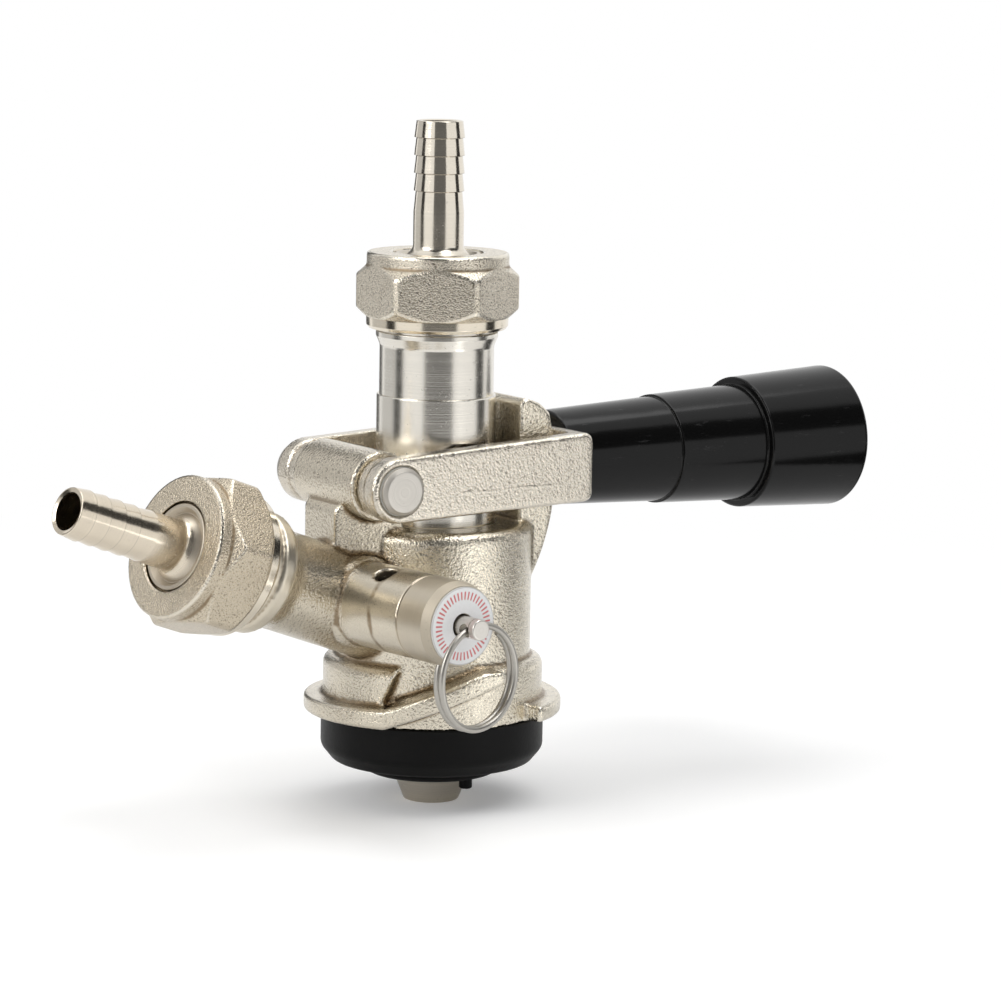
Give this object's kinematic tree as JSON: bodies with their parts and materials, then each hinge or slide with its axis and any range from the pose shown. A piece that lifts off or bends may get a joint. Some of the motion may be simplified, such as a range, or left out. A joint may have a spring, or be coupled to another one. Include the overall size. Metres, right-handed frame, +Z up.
{
  "type": "keg coupler",
  "caption": "Lever-handled keg coupler: twist-on base with a rubber seal, sliding probe with a beer barb on top, gas barb on a side arm, pull-ring relief valve, long stepped grip.",
  "frame": {"origin": "on the probe's axis, level with the underside of the metal base, where the base seal begins", "axes": "+Z up along the probe, +X along the handle in its locked place, -X towards the gas inlet, -Y towards the relief valve"},
  "size_m": [0.1721, 0.065, 0.1244],
  "materials": {
    "cast": "nickel-plated casting, fine blasted grain with polished edges",
    "nut": "nickel-plated forging, satin grain, turned collars bright",
    "barb": "nickel-plated brass, turned and polished",
    "stainless": "turned stainless steel, fine lines round the axis",
    "pin": "satin turned end",
    "spring": "drawn wire",
    "grip": "glossy moulded black",
    "rubber": "matte black",
    "washer": "plain white fibre",
    "valve": "dark grey moulded",
    "label": "white printed disc, left without words",
    "ball": "ground ball",
    "cage": "moulded off-white"
  },
  "bodies": {
    "body": {"body_casting": "cast", "body_seal": "rubber", "neck_o_ring": "rubber", "pivot_pin": "pin", "pin_snap_ring": "spring", "gas_washer": "washer", "gas_tailpiece": "barb", "gas_check_valve": "valve", "relief_cap": "cast", "relief_label": "label", "relief_spring": "spring"},
    "lever": {"lever_fork": "cast", "pivot_bushes": "cage", "handle_tube": "stainless", "handle_spring": "spring"},
    "grip": {"handle_grip": "grip", "locking_plunger": "stainless", "grip_nut": "spring", "grip_end_plug": "grip"},
    "probe": {"probe_tube": "stainless", "probe_o_ring": "rubber", "probe_seal": "rubber", "probe_tip": "stainless", "ball_cage": "cage", "beer_washer": "washer", "beer_tailpiece": "barb"},
    "ball": {"check_ball": "ball"},
    "relief_plunger": {"relief_stem": "pin", "relief_seal": "rubber"},
    "ring": {"pull_ring": "stainless"},
    "beer_nut": {"beer_hex_nut": "nut"},
    "gas_nut": {"gas_hex_nut": "nut"}
  },
  "joints": [
    {"name": "lever_pivot", "type": "hinge", "parent": "body", "child": "lever", "pos_m": [-0.018, 0, 0.0438], "axis": [0, 1, 0], "range_deg": [-28, 0]},
    {"name": "grip_slide", "type": "slide", "parent": "lever", "child": "grip", "axis": [1, 0, 0], "range_m": [0, 0.006], "deforming": ["handle_spring"]},
    {"name": "probe_slide", "type": "slide", "parent": "body", "child": "probe", "axis": [0, 0, 1], "range_m": [0, 0.0084]},
    {"name": "ball_lift", "type": "slide", "parent": "probe", "child": "ball", "axis": [0, 0, 1], "range_m": [0, 0.0016]},
    {"name": "relief_pull", "type": "slide", "parent": "body", "child": "relief_plunger", "axis": [0.0872, -0.9962, 0], "range_m": [0, 0.003], "stiffness_N_per_m": 900, "springref_m": -0.004, "deforming": ["relief_spring"]},
    {"name": "ring_swing", "type": "hinge", "parent": "relief_plunger", "child": "ring", "pos_m": [-0.01769, -0.03869, 0.0229], "axis": [0.9744, 0.0853, 0.2079], "range_deg": [-100, 2]},
    {"name": "beer_nut_turn", "type": "hinge", "parent": "probe", "child": "beer_nut", "pos_m": [0, 0, 0.0772], "axis": [0, 0, 1], "continuous": true},
    {"name": "gas_nut_turn", "type": "hinge", "parent": "body", "child": "gas_nut", "pos_m": [-0.05092, -0.00445, 0.03321], "axis": [-0.9361, -0.0819, 0.342], "continuous": true}
  ],
  "couplings": [
    {"joint": "probe_slide", "follows": "lever_pivot", "m_per_rad": -0.016933},
    {"joint": "grip_slide", "follows": "lever_pivot", "m_per_rad": -0.01227}
  ]
}
